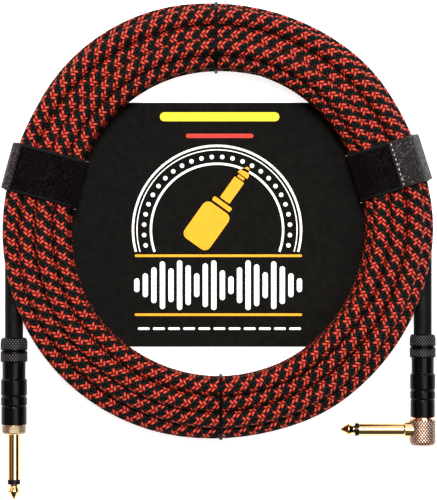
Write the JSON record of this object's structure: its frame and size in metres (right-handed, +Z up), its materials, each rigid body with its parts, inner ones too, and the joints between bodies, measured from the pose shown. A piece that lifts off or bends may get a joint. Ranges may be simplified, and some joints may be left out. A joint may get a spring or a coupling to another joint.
{
  "type": "instrument cable",
  "caption": "Woven-jacket instrument cable, coiled and strapped to a backing card, with a straight and a right-angle 6.35 mm mono plug.",
  "frame": {"origin": "centre of the footprint, on the surface that the coil lies on", "axes": "+X to the right of the coil, +Y from the plugs to the top of the coil, +Z up out of the coil's plane"},
  "size_m": [0.2208, 0.2488, 0.0312],
  "materials": {
    "woven_jacket": "two-colour woven nylon braid, orange-red and near-black",
    "heat_shrink": "matte black shrink tubing",
    "black_barrel": "gloss black over turned and knurled brass",
    "gold_plate": "polished gold plate",
    "black_insulator": "black acetal",
    "solder_lug": "tinned brass",
    "liner": "translucent insulating sleeve",
    "collet": "black nylon",
    "copper": "bare copper strand",
    "core_insulation": "white polyethylene",
    "inner_jacket": "black rubber",
    "strap_loop": "brushed black loop pile",
    "strap_hook": "woven black hook tape",
    "tie_wire": "plastic-coated twin wire",
    "card": "matte black printed card"
  },
  "bodies": {
    "cable": {"cable_coil": "woven_jacket", "straight_end_lead": "woven_jacket", "angle_end_lead": "woven_jacket", "straight_heat_shrink": "heat_shrink", "straight_tip": "gold_plate", "straight_shaft": "gold_plate", "straight_tip_insulator": "black_insulator", "straight_tip_lug": "solder_lug", "straight_ground_lug": "solder_lug", "straight_centre_wire": "copper", "straight_shield_pigtail": "copper", "straight_core_insulation": "core_insulation", "straight_inner_jacket": "inner_jacket", "angle_heat_shrink": "heat_shrink", "angle_tip": "gold_plate", "angle_shaft": "gold_plate", "angle_tip_insulator": "black_insulator", "angle_tip_lug": "solder_lug", "angle_ground_lug": "solder_lug", "angle_centre_wire": "copper", "angle_shield_pigtail": "copper", "angle_core_insulation": "core_insulation", "angle_inner_jacket": "inner_jacket", "straight_lug_washer": "black_insulator", "angle_lug_bush": "black_insulator", "angle_head": "gold_plate", "left_strap_band": "strap_loop", "right_strap_band": "strap_loop", "top_wire_tie": "tie_wire", "bottom_wire_tie": "tie_wire", "backing_card": "card"},
    "straight_liner_body": {"straight_barrel_liner": "liner"},
    "straight_barrel_body": {"straight_barrel": "black_barrel"},
    "straight_collet_body": {"straight_cable_collet": "collet"},
    "straight_nut_body": {"straight_tail_nut": "black_barrel"},
    "angle_liner_body": {"angle_barrel_liner": "liner"},
    "angle_barrel_body": {"angle_barrel": "black_barrel"},
    "angle_collet_body": {"angle_cable_collet": "collet"},
    "angle_nut_body": {"angle_tail_nut": "black_barrel"},
    "left_tab_body": {"left_strap_hook_tab": "strap_hook"},
    "right_tab_body": {"right_strap_hook_tab": "strap_hook"}
  },
  "joints": [
    {"name": "straight_barrel_travel", "type": "slide", "parent": "cable", "child": "straight_liner_body", "axis": [0, 1, 0], "range_m": [0, 0.005]},
    {"name": "straight_barrel_unscrew", "type": "hinge", "parent": "straight_liner_body", "child": "straight_barrel_body", "pos_m": [-0.10174, -0.08683, 0.00685], "axis": [0, 1, 0], "range_deg": [0, 1800]},
    {"name": "straight_nut_travel", "type": "slide", "parent": "straight_barrel_body", "child": "straight_collet_body", "axis": [0, 1, 0], "range_m": [0, 0.003]},
    {"name": "straight_nut_unscrew", "type": "hinge", "parent": "straight_collet_body", "child": "straight_nut_body", "pos_m": [-0.10174, -0.04343, 0.00685], "axis": [0, 1, 0], "range_deg": [0, 1080]},
    {"name": "angle_barrel_travel", "type": "slide", "parent": "cable", "child": "angle_liner_body", "axis": [0, 1, 0], "range_m": [0, 0.005]},
    {"name": "angle_barrel_unscrew", "type": "hinge", "parent": "angle_liner_body", "child": "angle_barrel_body", "pos_m": [0.10261, -0.08308, 0.0066], "axis": [0, 1, 0], "range_deg": [0, 1800]},
    {"name": "angle_nut_travel", "type": "slide", "parent": "angle_barrel_body", "child": "angle_collet_body", "axis": [0, 1, 0], "range_m": [0, 0.003]},
    {"name": "angle_nut_unscrew", "type": "hinge", "parent": "angle_collet_body", "child": "angle_nut_body", "pos_m": [0.10261, -0.04178, 0.0066], "axis": [0, 1, 0], "range_deg": [0, 1080]},
    {"name": "left_tab_peel", "type": "hinge", "parent": "cable", "child": "left_tab_body", "pos_m": [-0.09903, 0.04093, 0.03], "axis": [0.2588, 0.9659, 0], "range_deg": [0, 90]},
    {"name": "right_tab_peel", "type": "hinge", "parent": "cable", "child": "right_tab_body", "pos_m": [0.08672, 0.04163, 0.0312], "axis": [0.3024, -0.9532, 0], "range_deg": [0, 90]}
  ],
  "couplings": [
    {"joint": "straight_barrel_unscrew", "follows": "straight_barrel_travel", "rad_per_m": 6283},
    {"joint": "straight_nut_unscrew", "follows": "straight_nut_travel", "rad_per_m": 6283},
    {"joint": "angle_barrel_unscrew", "follows": "angle_barrel_travel", "rad_per_m": 6283},
    {"joint": "angle_nut_unscrew", "follows": "angle_nut_travel", "rad_per_m": 6283}
  ]
}
